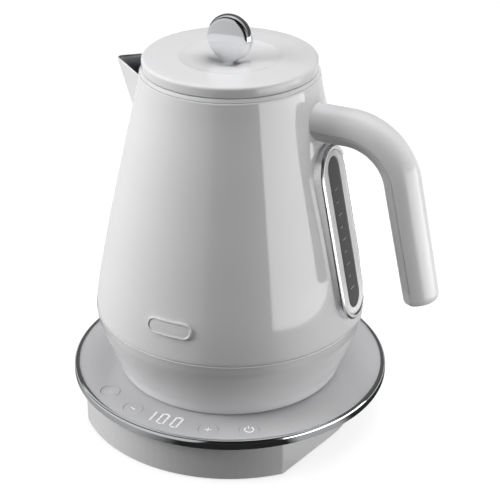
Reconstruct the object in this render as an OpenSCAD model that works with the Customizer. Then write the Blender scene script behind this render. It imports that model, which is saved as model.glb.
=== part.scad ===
// Cordless electric jug kettle on a powered base with a chrome rim.
// Millimetres, +Z up. Origin: the kettle's axis where it meets the table.
// The controls and the badge face -Y, the handle is on +X, the spout on -X.

/* [Base] */
// Outside diameter of the chrome rim ring
base_dia = 200; // [186:1:216]
// Height of the rim ring's top edge above the table
base_h = 31; // [29:0.5:36]
// Height of the chrome rim ring
rim_h = 6.2; // [5:0.2:8]
// Diameter of the round part of the plinth under the base
plinth_dia = 162; // [150:1:168]
// Half of the angle that the control box spans at the front of the plinth
control_half_angle = 45.5; // [38:0.5:50]
// Diameter of a push button
button_dia = 12; // [10:0.5:13]
// Travel of a push button
button_travel = 0.6; // [0.4:0.1:0.9]
// Angle from the front to the first button on each side
button_first = 17.3; // [16:0.1:19]
// Angle between neighbouring buttons about the axis
button_pitch = 16.3; // [15:0.1:18]
// Length of one digit of the display
digit_h = 11.6; // [9:0.2:12]

/* [Kettle body] */
// Diameter of the kettle where it stands on the base
foot_dia = 139.6; // [130:0.2:144]
// Height of the plastic band at the bottom of the kettle
band_h = 43.2; // [40:0.2:50]
// Diameter of the body at its seam with the band
seam_dia = 168.2; // [160:0.2:174]
// Height of the steel body above the seam
body_h = 152.6; // [144:0.2:164]
// Diameter of the body at its top edge
mouth_dia = 107.2; // [100:0.2:114]
// Thickness of the steel body
steel_t = 1.2; // [0.8:0.1:1.5]
// Thickness of the plastic walls
wall_t = 2.4; // [2:0.1:3]

/* [Spout] */
// How far the spout's nose stands out past the body's top edge
spout_reach = 22; // [18:0.5:26]
// Height of the spout from its lowest point to its lip
spout_h = 33; // [28:0.5:38]
// Half of the angle that the spout spans at the lip
spout_half_angle = 26; // [22:0.5:30]
// Radius of the nose at the lip
nose_r = 4; // [3:0.2:5]

/* [Lid] */
// Height of the lid's visible disc
lid_h = 6.4; // [5:0.2:9]
// Diameter of the knob disc
knob_dia = 28.4; // [22:0.2:30]
// Thickness of the knob disc
knob_t = 9.6; // [7:0.2:12]
// Diameter of the knob's neck
neck_dia = 8.6; // [7:0.2:10]

/* [Handle] */
// Depth of the handle's rounded shell, from its seam to its back
handle_back = 12.8; // [11:0.1:15]
// Depth of the handle's inner cover, from the seam to its flat face
handle_front = 7.5; // [6:0.1:9]
// Width of the handle at its root
handle_w = 25; // [23:0.2:30]
// Width of the handle at its free end
handle_end_w = 24; // [21:0.2:28]
// Radius of the bend along the handle's seam
bend_r = 32.8; // [28:0.2:38]
// Lean of the straight grip away from upright
grip_lean = 12.3; // [8:0.1:18]
// Length of the straight grip
grip_len = 70.4; // [62:0.2:80]

/* [Water gauge and badge] */
// Overall length of the gauge's chrome frame
gauge_len = 111.4; // [96:0.2:116]
// Overall width of the gauge's chrome frame
gauge_w = 36; // [33:0.5:38]
// Width of the gauge's clear window
window_w = 16; // [13:0.5:18]
// Distance from the ends of the gauge's frame to its window
window_end = 7.3; // [6:0.1:9]
// Length of the bare badge plate
badge_len = 28.8; // [24:0.2:34]
// Height of the bare badge plate
badge_w = 10; // [8:0.2:12]

/* [Hidden] */
$fn = 96;
eps = 0.02;

// Clearances
snug = 0.1;      // between fixed pieces that fit one in another
corner_spare = 0.1; // left of the plinth's corner radius at its innermost outline
slide_gap = 0.25; // between a piece that slides and its guide
rest_gap = 0.1;   // under a piece that rests and can be lifted away

// Base levels
foot_h = 1;
cover_t = 2.5;
flange_t = 2.2;
ring_bottom = base_h - rim_h;
rim_r = base_dia / 2;
ring_t = 3;
cover_r = rim_r - ring_t - snug;
cover_top = base_h - 1.5;
cover_rise = 0.8;
cover_bottom = cover_top - cover_t;
flange_top = cover_bottom - snug;
flange_bottom = flange_top - flange_t;
plinth_r = plinth_dia / 2;
control_r = rim_r - 4.5;
plate_t = 2.2;
plate_top = foot_h + plate_t;

// Base connector
dome_r = 17;
dome_h = 9;
socket_gap = 0.8;

// Controls
control_line_r = rim_r - 13.8;
button_angles = [-button_first - button_pitch, -button_first, button_first, button_first + button_pitch];
button_r = button_dia / 2;
button_flange_t = 1.2;
button_lip = 1;
key_rise = 0.35;
stem_r = 2;
board_top = cover_bottom - 7;
board_t = 1.6;
board_gap = 1.5;
corner_r = wall_t + board_gap + corner_spare;
side_angle = control_half_angle + acos(plinth_r / control_r);
side_reach = sqrt(pow(control_r - corner_r, 2) - pow(plinth_r - corner_r, 2));
corner = (plinth_r - corner_r) * [sin(side_angle), -cos(side_angle)]
    - side_reach * [cos(side_angle), sin(side_angle)];
corner_angle = atan2(corner[0], -corner[1]);
board_w = control_r * 1.3;
board_d = 30;
board_post_x = 30;
switch_h = 2.6;
stem_bottom = board_top + switch_h + button_travel + snug;
digit_w = 4.3;
digit_pitch = 9;
bar_t = 1.1;
bar_gap = 0.5;
display_x = -3.9;
display_r = rim_r - 15.8;
display_left = display_x - 1.1 * digit_pitch;
display_right = display_x + 1.45 * digit_pitch;
display_margin = 1.6;

// Kettle levels
kettle_z = cover_top + rest_gap;
seam_z = kettle_z + band_h;
mouth_z = seam_z + body_h;
seam_r = seam_dia / 2;
mouth_r = mouth_dia / 2;
foot_r = foot_dia / 2;
seam_gap = 0.3;
floor_z = seam_z - 10;
floor_t = 1.6;

// Profile of the body: share of the height, share of the widening
body_curve = [[0, 1], [0.1, 0.934], [0.257, 0.787], [0.414, 0.63], [0.571, 0.456],
              [0.729, 0.282], [0.886, 0.098], [0.95, 0.034], [1, 0]];
// Profile of the band: share of the height, share of the widening
band_curve = [[0, 0], [0.03, 0.055], [0.17, 0.19], [0.35, 0.41], [0.53, 0.62],
              [0.72, 0.84], [0.85, 0.95], [1, 1]];

function body_r(z) = mouth_r + (seam_r - mouth_r) * lookup((z - seam_z) / body_h, body_curve);
function band_r(z) = foot_r + (seam_r - foot_r) * lookup((z - kettle_z) / band_h, band_curve);
body_points = [for (p = body_curve) [mouth_r + (seam_r - mouth_r) * p[1], seam_z + body_h * p[0]]];
band_points = [for (p = band_curve) [foot_r + (seam_r - foot_r) * p[1], kettle_z + band_h * p[0]]];

// Collar of the body inside the band
collar_top_r = band_r(seam_z) - wall_t - 0.5;
collar_bottom_r = band_r(floor_z - 4) - wall_t - 0.9;
collar_bottom_z = floor_z - 4;

// Neck and lid
neck_ring_r = mouth_r - steel_t - snug - 0.4;
neck_open_r = neck_ring_r - 3;
neck_drop = 7.5;
neck_flange_t = 2.2;
lid_bottom = mouth_z + neck_flange_t + 0.3;
lid_top = lid_bottom + lid_h;
lid_r = mouth_r - 1.6;
lid_t = 1.8;
plug_r = neck_open_r - 2;
plug_drop = 8.6;
plug_t = 1.8;
plug_top = lid_top - lid_t - snug;
seal_r = neck_open_r - slide_gap;
seal_z = mouth_z - 3.6;
knob_r = knob_dia / 2;
neck_r = neck_dia / 2;
knob_z = lid_top + 11;
dish_r = 30;
dish_h = 4.2;
dish_in = neck_r + 1;
dish_curve = [[1, 0], [0.94, 0.08], [0.6, 0.28], [0.36, 0.48], [0.16, 0.78], [0.05, 0.96], [0, 1]];
screw_boss_r = 5.4;
knob_screw_pass = 2.1;

// Underside of the kettle
under_t = 2.4;
under_z = kettle_z + 1.2;
cup_r = dome_r + socket_gap + 3.4;
cup_top = cover_top + dome_h + 4.6;
connector_r = dome_r + socket_gap + 1.8;

// Spout
lip_z = mouth_z - 3.6;
spout_low = lip_z - spout_h;
ridge_low_x = body_r(spout_low) - 0.3;
ridge_high_x = mouth_r + spout_reach;
spout_steps = 8;
ridge_r = 0.9;
ridge_half_angle = 3;
spout_seat = -0.4;
spout_root = 4;
core_reach = 18;

// Handle's place
root_z = mouth_z - 24.1;
bend_x = mouth_r + 22.9;

// Water gauge
gauge_gap = 3.7; // between the handle's inner face and the frame's upper end
gauge_mid = root_z - handle_front - gauge_gap - gauge_len / 2;
gauge_hw = gauge_w / 2;
gauge_hl = gauge_len / 2;
window_hw = window_w / 2;
window_hl = gauge_hl - window_end;
gauge_low_r = body_r(gauge_mid - gauge_len / 2);
gauge_high_r = body_r(gauge_mid + gauge_len / 2);
gauge_tilt = atan((gauge_low_r - gauge_high_r) / gauge_len);
gauge_depth = 7;
frame_base = 4.6;
frame_rise = 3.5;
bezel_w = 3.5;
bezel_in = gauge_hw - bezel_w;
bezel_in_l = gauge_hl - bezel_w;
lens_rise = 2.45;
ring_rise = 2.8;
ring_t_gauge = 1.3;
seal_t = 0.5;
slot_in = 1.2;
slot_hw = window_hw - slot_in;
slot_hl = window_hl - slot_in;

// Badge
badge_z = seam_z + 20;
badge_t = 0.9;
badge_rim_t = 1.6;
badge_rim_w = 1.3;
badge_tilt = atan((body_r(badge_z - 5) - body_r(badge_z + 5)) / 10);

// Handle
root_x = body_r(root_z) - 12;
turn = 90 - grip_lean;
bend_end = [bend_x + bend_r * sin(turn), root_z - bend_r * (1 - cos(turn))];
face_w = handle_w * 0.64;
handle_t = 2.8;
edge = 1.5;
flank = 0.3;
root_gap = 0.35;
end_round = 5;
bracket_screw_y = 4.6;
bracket_room = 1.5;
bracket_w = face_w - edge;
bracket_low = handle_front - handle_t - bracket_room;
bracket_up = 5;

// ---------- shared shapes ----------

module at_angle(angle, r, z = 0) {
    rotate([0, 0, angle]) translate([0, -r, z]) children();
}

module disc(r, z0, z1) {
    translate([0, 0, z0]) cylinder(r = r, h = z1 - z0);
}

module ring(r_out, r_in, z0, z1) {
    rotate_extrude() translate([r_in, z0]) square([r_out - r_in, z1 - z0]);
}

// Stadium outline, long way along its own Y
module stadium(hw, hl) {
    square([2 * hw, 2 * (hl - hw)], center = true);
    translate([0, hl - hw]) circle(hw);
    translate([0, hw - hl]) circle(hw);
}

// Solid of the body and its band, grown outwards by g
module body_solid(g = 0) {
    rotate_extrude() polygon(concat([[0, kettle_z]], [for (p = band_points) [p[0] + g, p[1]]],
        [for (i = [1:len(body_points) - 1]) [body_points[i][0] + g, body_points[i][1]]], [[0, mouth_z]]));
}

// Places a flat outline on the gauge's plane: X across, Y up the slope, Z outwards
module on_gauge() {
    translate([body_r(gauge_mid), 0, gauge_mid]) rotate([0, -gauge_tilt, 0])
        rotate([90, 0, 90]) children();
}

// The same on the badge's place at the front of the body
module on_badge() {
    rotate([0, 0, -90]) translate([body_r(badge_z), 0, badge_z]) rotate([0, -badge_tilt, 0])
        rotate([90, 0, 90]) children();
}

// Points of an arc about c, from angle a0 to a1, counted from the front towards +X
function arc_points(c, r, a0, a1, n, first = 0) =
    [for (i = [first:n]) let (a = a0 + (a1 - a0) * i / n) c + r * [sin(a), -cos(a)]];

// Outline of the plinth, grown inwards by g: a circle, a wider arc at the front that carries the
// controls, sides tangent to the circle and rounded corners
module plinth_outline(g = 0) {
    half = concat(arc_points([0, 0], control_r - g, 0, corner_angle, 14),
        arc_points(corner, corner_r - g, corner_angle, side_angle, 4, 1),
        arc_points([0, 0], plinth_r - g, side_angle, 180, 30));
    polygon(concat(half, [for (i = [len(half) - 2:-1:1]) [-half[i][0], half[i][1]]]));
}

// The display's field, grown outwards by g
module display_field(g = 0) {
    translate([display_left - g, -display_r - digit_h / 2 - display_margin - g])
        square([display_right - display_left + 2 * g, digit_h + 2 * display_margin + 2 * g]);
}

// A countersunk or pan screw along +Z, its head at the bottom
module screw(shaft_r, head_r, head_t, length) {
    cylinder(r = head_r, h = head_t);
    translate([0, 0, head_t - eps]) cylinder(r = shaft_r, h = length);
}

// ---------- base ----------

base_screw_angles = [30, 150, 210, 330];
base_screw_r = plinth_r - 14;
base_screw_len = 9;
post_r = 4;
gland_z = 12;
gland_r = 6;
cord_hole_r = 3.6;
gland_len = 10;
gland_back = 6;
foot_pad_r = 7;
foot_place_r = plinth_r - 24;
screw_hole_r = 1.6;
screw_pass_r = 1.7;
screw_head_room = 3.4;

// Plinth wall of the base, carrying the control box at the front
module base_lower_housing() {
    color("#ECECEC") difference() {
        translate([0, 0, foot_h]) linear_extrude(flange_bottom - snug - foot_h) difference() {
            plinth_outline();
            plinth_outline(wall_t);
        }
        translate([0, plinth_r - gland_back - 2, gland_z]) rotate([-90, 0, 0])
            cylinder(r = gland_r + snug, h = gland_len + 6);
    }
}

// Round tray under the cover, with the posts that the base's screws hold
module base_tray() {
    color("#E6E6E6") difference() {
        union() {
            disc(cover_r, flange_bottom, flange_top);
            for (a = base_screw_angles)
                at_angle(a, base_screw_r) disc(post_r, plate_top + snug, flange_bottom + eps);
        }
        for (a = base_screw_angles)
            at_angle(a, base_screw_r) disc(screw_hole_r, foot_h, plate_top + base_screw_len + 1);
        disc(dome_r + snug, flange_bottom - 1, flange_top + 1);
        for (a = button_angles)
            at_angle(a, control_line_r)
                disc(button_r + button_lip + 0.8, flange_bottom - 1, flange_top + 1);
        translate([0, 0, flange_bottom - 1]) linear_extrude(flange_t + 2) display_field(0.9);
    }
}

module base_top_cover() {
    color("#F4F4F4") difference() {
        rotate_extrude() polygon([[dome_r + snug, cover_bottom], [cover_r, cover_bottom],
            [cover_r, cover_top + cover_rise], [cover_r - 1.2, cover_top + cover_rise],
            [foot_r + 4, cover_top], [dome_r + snug, cover_top]]);
        for (a = button_angles)
            at_angle(a, control_line_r) disc(button_r + slide_gap, cover_bottom - 1, base_h + 1);
        translate([display_x, -display_r, cover_bottom - 1])
            display_bars(cover_t + cover_rise + 2, snug);
    }
}

module base_trim_ring() {
    color("#C9CCCE") rotate_extrude() polygon([
        [rim_r - ring_t, ring_bottom], [rim_r - 1.2, ring_bottom], [rim_r - 0.3, ring_bottom + 0.6],
        [rim_r, ring_bottom + 1.8], [rim_r, base_h - 2], [rim_r - 0.4, base_h - 0.7],
        [rim_r - 1.3, base_h], [rim_r - 2.2, base_h], [rim_r - ring_t, base_h - 0.6]]);
}

module base_bottom_plate() {
    color("#DADADA") difference() {
        translate([0, 0, foot_h]) linear_extrude(plate_t) plinth_outline(wall_t + slide_gap);
        for (a = base_screw_angles) at_angle(a, base_screw_r) {
            disc(screw_pass_r, foot_h - 1, plate_top + 1);
            disc(screw_head_room, foot_h - 1, foot_h + 1.2);
        }
        for (a = [0, 90, 180, 270])
            at_angle(a + 45, foot_place_r) disc(foot_pad_r + snug, foot_h - 1, foot_h + 1);
        for (a = [-60:20:60], i = [0:1])
            at_angle(a, 24 + 9 * i) translate([0, 0, foot_h - 1]) linear_extrude(plate_t + 2)
                stadium(1.2, 3.5);
    }
}

module base_feet() {
    color("#3A3A3A") for (a = [0, 90, 180, 270])
        at_angle(a + 45, foot_place_r) disc(foot_pad_r, 0, foot_h + 1);
}

module base_screws() {
    color("#9A9A9A") for (a = base_screw_angles)
        at_angle(a, base_screw_r, foot_h + 0.2) screw(1.5, 3.2, 1, base_screw_len);
}

// Round powered socket that the kettle drops over from any side
module base_connector() {
    top = cover_top + dome_h;
    color("#2B2B2B") difference() {
        union() {
            rotate_extrude() polygon([[0, plate_top + 4], [dome_r, plate_top + 4],
                [dome_r, top - 2.4], [dome_r - 2.4, top], [0, top]]);
            disc(dome_r + 4, flange_bottom - 2.2, flange_bottom - snug);
        }
        for (r = contact_rings)
            ring(r + 1.4, r, top - 6, top + 1);
        disc(2.2, top - 6, top + 1);
    }
}
contact_rings = [6, 11];

module connector_contacts() {
    top = cover_top + dome_h;
    color("#C79A4B") {
        for (r = contact_rings)
            ring(r + 0.6, r + 0.2, top - 6, top - 1.5);
        disc(0.9, top - 6, top - 1.5);
    }
}

module cord_gland() {
    color("#DDDDDD") translate([0, plinth_r - gland_back, gland_z]) rotate([-90, 0, 0]) difference() {
        union() {
            cylinder(r = gland_r, h = gland_len);
            cylinder(r = gland_r + 1.6, h = 2.6);
        }
        translate([0, 0, -1]) cylinder(r = cord_hole_r, h = gland_len + 2);
    }
}

module control_board() {
    color("#2F6B46") difference() {
        translate([0, 0, board_top - board_t]) linear_extrude(board_t) intersection() {
            plinth_outline(wall_t + board_gap);
            translate([-board_w / 2, -control_r]) square([board_w, board_d]);
        }
        for (a = base_screw_angles)
            at_angle(a, base_screw_r) disc(post_r + 0.5, 0, base_h);
    }
    color("#2F6B46") for (s = [-1, 1])
        translate([s * board_post_x, -control_r + board_d - 3])
            disc(2, board_top - eps, flange_bottom - snug);
}

module tact_switches() {
    color("#4A4A4A") for (a = button_angles)
        at_angle(a, control_line_r) {
            translate([-3, -3, board_top]) cube([6, 6, switch_h - 1]);
            disc(1.7, board_top, board_top + switch_h);
        }
}

// ---------- display ----------

// A light bar centred on c, long along X or Y
module bar(c, length, upright, g) {
    size = upright ? [bar_t, length - bar_gap] : [length - bar_gap, bar_t];
    translate(c) square(size + [2 * g, 2 * g], center = true);
}

// One seven-part digit without its middle bar; a "1" keeps only its right-hand bars
module digit(x, one, g) {
    half = (digit_h - bar_t) / 2;
    side = digit_w / 2;
    for (s = [-1, 1]) {
        bar([x + side, s * half / 2], half, true, g);
        if (!one) bar([x - side, s * half / 2], half, true, g);
        if (!one) bar([x, s * half], digit_w - bar_t, false, g);
    }
}

module display_bars(h, g = 0) {
    linear_extrude(h) for (i = [0:2])
        digit((i - 1) * digit_pitch, i == 0, g);
}

module display_light_guide() {
    color("#FFFFFF") {
        translate([display_x, -display_r, cover_bottom - 0.5])
            display_bars(cover_top + key_rise - cover_bottom + 0.5);
        translate([0, 0, board_top]) linear_extrude(cover_bottom - 0.3 - board_top) display_field();
    }
}

// ---------- buttons ----------

// A round key with a lip under the cover and a stem down to its switch
module button(angle) {
    color("#F0F0F0") at_angle(angle, control_line_r) {
        disc(button_r, cover_bottom - 1, cover_top + key_rise);
        disc(button_r + button_lip * 0.7, cover_bottom - snug - button_flange_t, cover_bottom - snug);
        disc(stem_r, stem_bottom, cover_bottom - 0.5);
    }
}
module button_warm() { button(button_angles[0]); }
module button_minus() { button(button_angles[1]); }
module button_plus() { button(button_angles[2]); }
module button_power() { button(button_angles[3]); }

// ---------- kettle bottom ----------

module bottom_band() {
    inner = [for (i = [len(band_points) - 1:-1:0])
        [band_points[i][0] - wall_t, max(band_points[i][1], kettle_z)]];
    color("#EFEFEF") difference() {
        union() {
            rotate_extrude() polygon(concat([for (p = band_points) [p[0], min(p[1], seam_z - seam_gap)]],
                [for (p = inner) [p[0], min(p[1], seam_z - seam_gap)]]));
            for (a = under_screw_angles)
                at_angle(a, under_screw_r) disc(4.2, under_z + under_t + snug, under_z + 16);
        }
        for (a = under_screw_angles)
            at_angle(a, under_screw_r) disc(screw_hole_r, kettle_z, under_z + 13);
    }
}
under_screw_angles = [0, 120, 240];
under_screw_r = foot_r - 8;

module kettle_underside() {
    lip_r = band_r(under_z) - wall_t - snug;
    color("#D8D8D8") difference() {
        union() {
            disc(lip_r, under_z, under_z + under_t);
            disc(cup_r, under_z, cup_top);
        }
        disc(connector_r + snug, under_z - 1, cup_top - 2);
        disc(dome_r + socket_gap, under_z - 1, cup_top + 1);
        for (a = under_screw_angles) at_angle(a, under_screw_r) {
            disc(screw_pass_r, under_z - 1, under_z + under_t + 1);
            disc(screw_head_room, under_z - 1, under_z + 1.2);
        }
    }
}

module underside_screws() {
    color("#9A9A9A") for (a = under_screw_angles)
        at_angle(a, under_screw_r, under_z + 0.2) screw(1.5, 3.2, 1, 10);
}

// Socket that drops over the base connector, closed at its top
module kettle_connector() {
    color("#2B2B2B") difference() {
        union() {
            disc(connector_r, under_z, cup_top - 2 - snug);
            disc(dome_r + socket_gap - snug, cup_top - 3, cup_top + 1.6);
        }
        disc(dome_r + socket_gap, under_z - 1, cover_top + dome_h + 1.2);
        for (r = contact_rings) ring(r + 0.75, r + 0.05, cover_top, cup_top + 2);
        disc(1.3, cover_top, cup_top + 2);
    }
}

module kettle_contacts() {
    color("#C79A4B") {
        for (r = contact_rings)
            ring(r + 0.7, r + 0.1, cover_top + dome_h - 0.6, cup_top + 2.4);
        disc(1.2, cover_top + dome_h - 0.6, cup_top + 2.4);
    }
}

module heating_plate() {
    color("#B9BCBE") difference() {
        disc(collar_bottom_r - steel_t - 0.6, floor_z - floor_t, floor_z);
        disc(sensor_r + 0.8, floor_z - 5, floor_z + 1);
    }
}
sensor_r = 3;

module floor_seal() {
    color("#E6E2DA") {
        r = collar_bottom_r - steel_t;
        ring(r - 0.05, r - 0.55, floor_z - floor_t, floor_z);
        ring(sensor_r + 0.7, sensor_r + 0.1, floor_z - floor_t, floor_z);
    }
}

module heating_element() {
    tube_r = 3.6;
    color("#8C8F92") {
        difference() {
            disc(56, floor_z - floor_t - 3.1, floor_z - floor_t - snug);
            disc(sensor_r + 3, floor_z - 10, floor_z);
        }
        rotate_extrude(angle = 300) translate([44, floor_z - floor_t - 3 - tube_r]) circle(tube_r);
        for (a = [0, 300]) rotate([0, 0, a]) translate([44, 0, cup_top + 2])
            cylinder(r = 1.6, h = floor_z - floor_t - 3 - tube_r - cup_top - 2);
    }
}

module temperature_sensor() {
    color("#A9ACAE") {
        disc(sensor_r, cup_top + 2.6, floor_z + 5);
        disc(sensor_r + 2.4, floor_z - floor_t - 2.4, floor_z - floor_t - snug);
    }
}

// ---------- steel body and spout ----------

// Steel jug: painted cone above the seam, a narrower collar hidden inside the band
module body_shell() {
    outer = concat([[collar_bottom_r, collar_bottom_z], [collar_top_r, seam_z - 1],
        [collar_top_r, seam_z]], body_points);
    inner = [for (i = [len(outer) - 1:-1:0])
        [outer[i][0] - steel_t, i == 3 ? outer[i][1] + steel_t : outer[i][1]]];
    color("#F1F1F1") difference() {
        rotate_extrude() polygon(concat(outer, [for (p = inner)
            p[0] > collar_top_r - steel_t && p[1] < seam_z + 0.5 ? [collar_top_r - steel_t, seam_z] : p]));
        spout_core(lip_z);
        on_gauge() translate([0, 0, -gauge_depth - 8]) linear_extrude(gauge_depth + 20)
            stadium(slot_hw + snug, slot_hl + snug);
        for (s = [-1, 1]) translate([0, s * bracket_screw_y, root_z]) rotate([0, 90, 0])
            cylinder(r = screw_pass_r, h = 100);
    }
}

// Outline of the spout at share t of its height, its wall inset by g, side by side of the nose
function spout_z(t) = spout_low + t * (lip_z - spout_low);
function spout_side(t, g) =
    let (z = spout_z(t), nose_x = ridge_low_x + t * (ridge_high_x - ridge_low_x),
         rho = ridge_r + t * (nose_r - ridge_r),
         half = ridge_half_angle + t * (spout_half_angle - ridge_half_angle),
         cx = -(nose_x - rho), r = body_r(z) + spout_seat,
         qx = -r * cos(half), qy = r * sin(half),
         tau = atan2(qy, qx - cx) + acos(rho / norm([qx - cx, qy])),
         px = qx - g * cos(tau), py = qy - g * sin(tau), in = 1 - spout_root / r)
    [px, py, px * in, py * in, cx, rho - g, tau];
function spout_loop(t, g) =
    let (s = spout_side(t, g), n = 6)
    concat([[s[2], s[3]], [s[0], s[1]]],
        [for (i = [0:n]) let (a = s[6] + (360 - 2 * s[6]) * i / n) [s[4] + s[5] * cos(a), s[5] * sin(a)]],
        [[s[0], -s[1]], [s[2], -s[3]]]);

// Skin between a stack of outlines that have the same number of points
module loft(loops, heights) {
    n = len(loops[0]);
    m = len(loops);
    points = [for (k = [0:m - 1], p = loops[k]) [p[0], p[1], heights[k]]];
    sides = [for (k = [0:m - 2], i = [0:n - 1], h = [0, 1])
        let (j = (i + 1) % n, a = k * n + i, b = k * n + j, c = a + n, d = b + n)
        h == 0 ? [a, b, d] : [a, d, c]];
    polyhedron(points, concat(sides, [[for (i = [n - 1:-1:0]) i]], [[for (i = [0:n - 1]) (m - 1) * n + i]]));
}

// The open space inside the spout, drawn on past the body's wall
module spout_core(top) {
    steps = [for (k = [0:spout_steps]) 0.05 + 0.95 * k / spout_steps];
    loops = [for (t = steps) let (l = spout_loop(t, steel_t * min(1, 0.4 + t)))
        concat(l, [[core_reach - mouth_r, l[len(l) - 1][1]], [core_reach - mouth_r, l[0][1]]])];
    loft([for (l = loops) [for (i = [len(l) - 1:-1:0]) l[i]]],
        [for (k = [0:spout_steps]) spout_z(steps[k]) + (k == spout_steps ? top - lip_z + eps : 0)]);
}

module spout() {
    steps = [for (k = [0:spout_steps]) k / spout_steps];
    color("#EEEEEE") difference() {
        loft([for (t = steps) let (l = spout_loop(t, 0)) [for (i = [len(l) - 1:-1:0]) l[i]]],
            [for (t = steps) spout_z(t)]);
        spout_core(lip_z + 1);
        body_solid(eps);
    }
}

module neck_ring() {
    color("#E4E4E4") rotate_extrude() polygon([
        [neck_open_r, mouth_z - neck_drop], [neck_ring_r, mouth_z - neck_drop],
        [neck_ring_r, mouth_z + snug], [mouth_r - 0.4, mouth_z + snug],
        [mouth_r - 1.8, mouth_z + neck_flange_t], [neck_open_r, mouth_z + neck_flange_t]]);
}

filter_r = neck_open_r + 0.6;
filter_top = mouth_z - neck_drop - snug;
filter_low = spout_low + 4;
filter_span = 2 * spout_half_angle + 16;

module filter_arc(r_out, r_in, z0, z1, span) {
    rotate([0, 0, 180 - span / 2]) rotate_extrude(angle = span)
        translate([r_in, z0]) square([r_out - r_in, z1 - z0]);
}

module filter_frame() {
    color("#9FA2A5") difference() {
        filter_arc(filter_r + 1.6, filter_r, filter_low, filter_top, filter_span);
        filter_arc(filter_r + 3, filter_r - 1, filter_low + 3, filter_top - 3, filter_span - 9);
    }
}

module filter_mesh() {
    rows = 6;
    cols = 9;
    high = filter_top - filter_low - 6 - 2 * snug;
    color("#B4B6B8") difference() {
        filter_arc(filter_r + 1.1, filter_r + 0.5, filter_low + 3 + snug, filter_top - 3 - snug,
            filter_span - 9.4);
        for (i = [0:cols - 1], j = [0:rows - 1])
            rotate([0, 0, 180 + (i - (cols - 1) / 2) * (filter_span - 12) / cols])
                translate([filter_r - 1, -1.9, filter_low + 4 + j * high / rows])
                    cube([4, 3.8, high / rows - 1.4]);
    }
}

// ---------- water gauge ----------

// A flat stadium ring between two outlines
module gauge_plate(out_hw, out_hl, in_hw, in_hl, w0, w1) {
    translate([0, 0, w0]) linear_extrude(w1 - w0) difference() {
        stadium(out_hw, out_hl);
        stadium(in_hw, in_hl);
    }
}

// A rounded bar swept round the stadium: two straights and two half rings
module gauge_bezel(profile) {
    straight = gauge_len / 2 - gauge_hw;
    for (s = [0, 1]) mirror([s, 0, 0])
        translate([0, -straight, 0]) rotate([-90, 0, 0]) mirror([0, 1, 0])
            linear_extrude(2 * straight) polygon(profile);
    for (s = [0, 1]) mirror([0, s, 0]) translate([0, straight, 0])
        rotate_extrude(angle = 180) polygon(profile);
}

module gauge_frame() {
    color("#C9CCCE") difference() {
        on_gauge() gauge_bezel([
            [bezel_in, -frame_base], [gauge_hw, -frame_base], [gauge_hw, frame_rise - 2.9],
            [gauge_hw - 0.5, frame_rise - 1.3], [gauge_hw - 1.2, frame_rise - 0.3],
            [gauge_hw - 2, frame_rise], [gauge_hw - 2.9, frame_rise - 0.2],
            [bezel_in, frame_rise - 0.6]]);
        body_solid(snug);
    }
}

module gauge_inner_ring() {
    color("#F1F1F1") on_gauge()
        gauge_plate(bezel_in - snug, bezel_in_l - snug, window_hw + snug, window_hl + snug,
            ring_rise - ring_t_gauge, ring_rise);
}

module gauge_window() {
    flange_top_w = ring_rise - ring_t_gauge - snug;
    color([0.35, 0.36, 0.38, 0.7]) {
        difference() {
            on_gauge() translate([0, 0, -frame_base]) linear_extrude(flange_top_w + frame_base)
                stadium(bezel_in - snug, bezel_in_l - snug);
            body_solid(seal_t + eps);
        }
        on_gauge() translate([0, 0, -gauge_depth]) linear_extrude(gauge_depth + flange_top_w - 0.2)
            stadium(slot_hw, slot_hl);
        on_gauge() translate([0, 0, flange_top_w - 0.5]) linear_extrude(lens_rise - flange_top_w + 0.5)
            stadium(window_hw, window_hl);
    }
}

module gauge_seal() {
    color("#D9D6CE") difference() {
        intersection() {
            on_gauge() gauge_plate(bezel_in - snug, bezel_in_l - snug, slot_hw + snug, slot_hl + snug,
                -frame_base, seal_t + 1.5);
            body_solid(seal_t);
        }
        body_solid(0);
    }
}

module gauge_marks() {
    color("#E8E8E8") on_gauge() for (i = [0:mark_count - 1])
        translate([-window_hw * 0.45, -window_hl * 0.74 + i * mark_pitch, lens_rise + eps])
            cube([i % 2 == 0 ? window_hw * 0.6 : window_hw * 0.35, 0.7, 0.15]);
}
mark_count = 9;
mark_pitch = 8;

// ---------- badge ----------

module badge_plate() {
    color("#DADCDD") {
        intersection() {
            difference() {
                body_solid(badge_t);
                body_solid(0.02);
            }
            on_badge() translate([0, 0, -6]) linear_extrude(12) rotate(90)
                stadium(badge_w / 2, badge_len / 2);
        }
        intersection() {
            difference() {
                body_solid(badge_rim_t);
                body_solid(badge_t / 2);
            }
            on_badge() translate([0, 0, -6]) linear_extrude(12) rotate(90) difference() {
                stadium(badge_w / 2, badge_len / 2);
                stadium(badge_w / 2 - badge_rim_w, badge_len / 2 - badge_rim_w);
            }
        }
    }
}

// ---------- handle ----------

// Middle line of the handle: place, heading and share of the taper at each station
straight_in = [for (x = [root_x, (root_x + bend_x) / 2]) [x, root_z, 0, 0]];
bend_part = [for (i = [0:8]) let (a = turn * i / 8)
    [bend_x + bend_r * sin(a), root_z - bend_r * (1 - cos(a)), a, 0.25 * i / 8]];
grip_part = [for (i = [1:4])
    [bend_end[0] + grip_len * sin(grip_lean) * i / 4, bend_end[1] - grip_len * cos(grip_lean) * i / 4,
     turn, 0.25 + 0.75 * i / 4]];
handle_line = concat(straight_in, bend_part, grip_part);

function taper(t) = 1 + t * (handle_end_w / handle_w - 1);

// Point of a section: across, outward, moved to its station on the line
function station_point(s, p) =
    [s[0] + p[1] * sin(s[2]), p[0], s[1] + p[1] * cos(s[2])];

// Half-round back of the handle from one seam to the other, its wall inset by g
function back_arc(g) = [for (i = [0:14]) let (a = 180 * i / 14)
    [(handle_w / 2 - g) * cos(a), (handle_back - g) * sin(a)]];
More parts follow.
